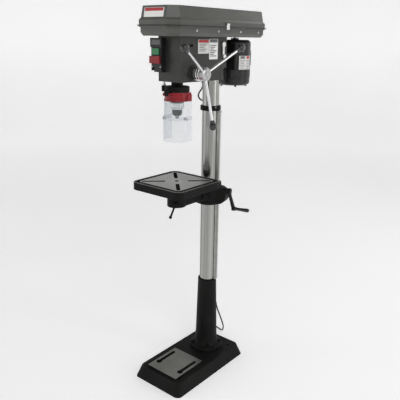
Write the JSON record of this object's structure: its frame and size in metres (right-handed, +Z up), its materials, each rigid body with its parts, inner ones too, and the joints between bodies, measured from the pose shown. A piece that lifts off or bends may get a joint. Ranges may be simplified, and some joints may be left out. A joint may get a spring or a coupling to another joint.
{
  "type": "drill press",
  "caption": "Floor-standing drill press: belt-driven head with sprung quill and chuck guard, rack-lift tilting table on a round column, slotted base.",
  "frame": {"origin": "centre of the four floor bolt holes, on the floor", "axes": "+Z up along the column, -Y towards the operator (front), +X towards the feed handles and table crank"},
  "size_m": [0.4589, 0.734, 1.628],
  "materials": {
    "base_paint": "satin paint",
    "steel": "ground steel",
    "chrome": "polished",
    "head_paint": "satin paint",
    "cover_paint": "hammered grey paint",
    "motor_paint": "satin paint",
    "black_plastic": "matte",
    "red_plastic": "gloss",
    "clear_plastic": "clear",
    "green_plastic": "gloss",
    "aluminium": "cast",
    "rubber": "matte"
  },
  "bodies": {
    "frame": {"base": "base_paint", "column_support": "base_paint", "support_bolts": "steel", "column": "steel", "rack_collar": "base_paint", "set_screws": "steel", "head_casting": "head_paint", "spring_cap": "black_plastic", "return_spring": "steel", "drive_bearings": "steel", "front_belt": "rubber", "rear_belt": "rubber", "cover_pan": "cover_paint", "hinge_pins": "steel", "switch_box": "black_plastic", "cord_gland": "black_plastic", "power_cord": "rubber", "plug": "rubber"},
    "rack": {"rack": "steel"},
    "lift": {"column_bracket": "base_paint", "gear_pin": "steel", "tilt_bolt": "steel"},
    "gear": {"lift_gear": "steel"},
    "crank": {"worm_shaft": "steel", "crank_arm": "base_paint"},
    "grip": {"crank_grip": "black_plastic"},
    "clamp": {"column_clamp_lever": "steel"},
    "arm": {"table_arm": "base_paint"},
    "table_lock": {"table_lock_lever": "steel"},
    "table": {"table": "base_paint"},
    "quill": {"quill": "steel", "quill_bearings": "steel", "quill_collar": "base_paint", "guide_rod": "steel"},
    "guard": {"guard_ring": "red_plastic", "shield_upper": "clear_plastic", "shield_screws": "steel"},
    "guard_low": {"shield_lower": "clear_plastic"},
    "spindle": {"spindle": "steel", "chuck_body": "chrome"},
    "sleeve": {"chuck_sleeve": "chrome"},
    "jaws": {"chuck_jaws": "steel"},
    "feed": {"feed_shaft": "steel", "feed_hub": "chrome", "feed_rods": "chrome", "feed_knobs": "black_plastic"},
    "stop_ring": {"depth_stop_ring": "chrome"},
    "drive": {"drive_sleeve": "steel", "spindle_pulley": "aluminium"},
    "idler_arm": {"idler_arm": "steel"},
    "idler": {"idler_pulley": "aluminium"},
    "motor": {"motor": "motor_paint", "motor_mount": "head_paint"},
    "rotor": {"motor_shaft": "steel", "motor_pulley": "aluminium"},
    "tension": {"tension_lever": "chrome"},
    "lid": {"cover_lid": "cover_paint"},
    "latch": {"lid_latch": "steel"},
    "start": {"start_button": "green_plastic"},
    "stop": {"stop_button": "red_plastic"}
  },
  "joints": [
    {"name": "table_swing", "type": "hinge", "parent": "frame", "child": "rack", "pos_m": [0, 0.118, 0.8], "axis": [0, 0, 1], "range_deg": [-80, 25]},
    {"name": "table_lift", "type": "slide", "parent": "rack", "child": "lift", "axis": [0, 0, -1], "range_m": [-0.165, 0.36]},
    {"name": "lift_gear_turn", "type": "hinge", "parent": "lift", "child": "gear", "pos_m": [0.06139, 0.13445, 0.832], "axis": [-0.2588, 0.9659, 0], "range_deg": [-530, 1150]},
    {"name": "crank_turn", "type": "hinge", "parent": "lift", "child": "crank", "pos_m": [0.0044, 0.10158, 0.864], "axis": [0.9659, 0.2588, 0], "range_deg": [-4210, 9175]},
    {"name": "grip_spin", "type": "hinge", "parent": "crank", "child": "grip", "pos_m": [0.1348, 0.13652, 0.787], "axis": [0.9659, 0.2588, 0], "continuous": true},
    {"name": "column_clamp_turn", "type": "hinge", "parent": "lift", "child": "clamp", "pos_m": [-0.06344, 0.08842, 0.832], "axis": [0.4226, -0.9063, 0], "range_deg": [-60, 60]},
    {"name": "table_tilt", "type": "hinge", "parent": "lift", "child": "arm", "pos_m": [0, 0.0431, 0.85], "axis": [0, 1, 0], "range_deg": [-45, 45]},
    {"name": "table_lock_turn", "type": "hinge", "parent": "arm", "child": "table_lock", "pos_m": [0.0304, -0.14541, 0.845], "axis": [-0.5736, 0.8192, 0], "range_deg": [-80, 80]},
    {"name": "table_turn", "type": "hinge", "parent": "arm", "child": "table", "pos_m": [0, -0.102, 0.905], "axis": [0, 0, 1], "continuous": true},
    {"name": "quill_slide", "type": "slide", "parent": "frame", "child": "quill", "axis": [0, 0, -1], "range_m": [0, 0.085], "stiffness_N_per_m": 200, "springref_m": -0.45},
    {"name": "feed_turn", "type": "hinge", "parent": "frame", "child": "feed", "pos_m": [0, -0.067, 1.38], "axis": [1, 0, 0], "range_deg": [0, 361]},
    {"name": "depth_stop_turn", "type": "hinge", "parent": "feed", "child": "stop_ring", "pos_m": [0.088, -0.067, 1.38], "axis": [1, 0, 0], "range_deg": [-170, 170]},
    {"name": "spindle_spin", "type": "hinge", "parent": "quill", "child": "spindle", "pos_m": [0, -0.1, 1.3], "axis": [0, 0, 1], "continuous": true},
    {"name": "chuck_turn", "type": "hinge", "parent": "spindle", "child": "sleeve", "pos_m": [0, -0.1, 1.25], "axis": [0, 0, 1], "range_deg": [0, 180]},
    {"name": "jaws_slide", "type": "slide", "parent": "spindle", "child": "jaws", "axis": [0, 0, -1], "range_m": [0, 0.0061]},
    {"name": "guard_flip", "type": "hinge", "parent": "quill", "child": "guard", "pos_m": [0, -0.158, 1.299], "axis": [-1, 0, 0], "range_deg": [0, 90]},
    {"name": "shield_slide", "type": "slide", "parent": "guard", "child": "guard_low", "axis": [0, 0, 1], "range_m": [0, 0.06]},
    {"name": "drive_spin", "type": "hinge", "parent": "frame", "child": "drive", "pos_m": [0, -0.1, 1.55], "axis": [0, 0, 1], "continuous": true},
    {"name": "idler_swing", "type": "hinge", "parent": "frame", "child": "idler_arm", "pos_m": [0.03, 0.088, 1.52], "axis": [0, 0, 1], "range_deg": [-8, 8], "deforming": ["front_belt", "rear_belt"]},
    {"name": "idler_spin", "type": "hinge", "parent": "idler_arm", "child": "idler", "pos_m": [0, 0.088, 1.56], "axis": [0, 0, 1], "continuous": true},
    {"name": "motor_slide", "type": "slide", "parent": "frame", "child": "motor", "axis": [0, 1, 0], "range_m": [-0.015, 0], "deforming": ["rear_belt"]},
    {"name": "motor_spin", "type": "hinge", "parent": "motor", "child": "rotor", "pos_m": [0, 0.281, 1.55], "axis": [0, 0, 1], "continuous": true},
    {"name": "tension_turn", "type": "hinge", "parent": "frame", "child": "tension", "pos_m": [0.062, 0.113, 1.49], "axis": [1, 0, 0], "range_deg": [-60, 60]},
    {"name": "lid_open", "type": "hinge", "parent": "frame", "child": "lid", "pos_m": [-0.1145, 0.118, 1.555], "axis": [0, -1, 0], "range_deg": [0, 100]},
    {"name": "latch_turn", "type": "hinge", "parent": "lid", "child": "latch", "pos_m": [0.1126, 0.079, 1.569], "axis": [0, -1, 0], "range_deg": [0, 70]},
    {"name": "start_press", "type": "slide", "parent": "frame", "child": "start", "axis": [0, 1, 0], "range_m": [0, 0.003], "stiffness_N_per_m": 600},
    {"name": "stop_press", "type": "slide", "parent": "frame", "child": "stop", "axis": [0, 1, 0], "range_m": [0, 0.003], "stiffness_N_per_m": 600}
  ],
  "couplings": [
    {"joint": "lift_gear_turn", "follows": "table_lift", "rad_per_m": 55.556},
    {"joint": "crank_turn", "follows": "table_lift", "rad_per_m": 444.44},
    {"joint": "feed_turn", "follows": "quill_slide", "rad_per_m": 74.074},
    {"joint": "jaws_slide", "follows": "chuck_turn", "m_per_rad": 0.0019099},
    {"joint": "spindle_spin", "follows": "motor_spin", "ratio": 0.4},
    {"joint": "drive_spin", "follows": "motor_spin", "ratio": 0.4},
    {"joint": "idler_spin", "follows": "motor_spin", "ratio": 0.5}
  ]
}
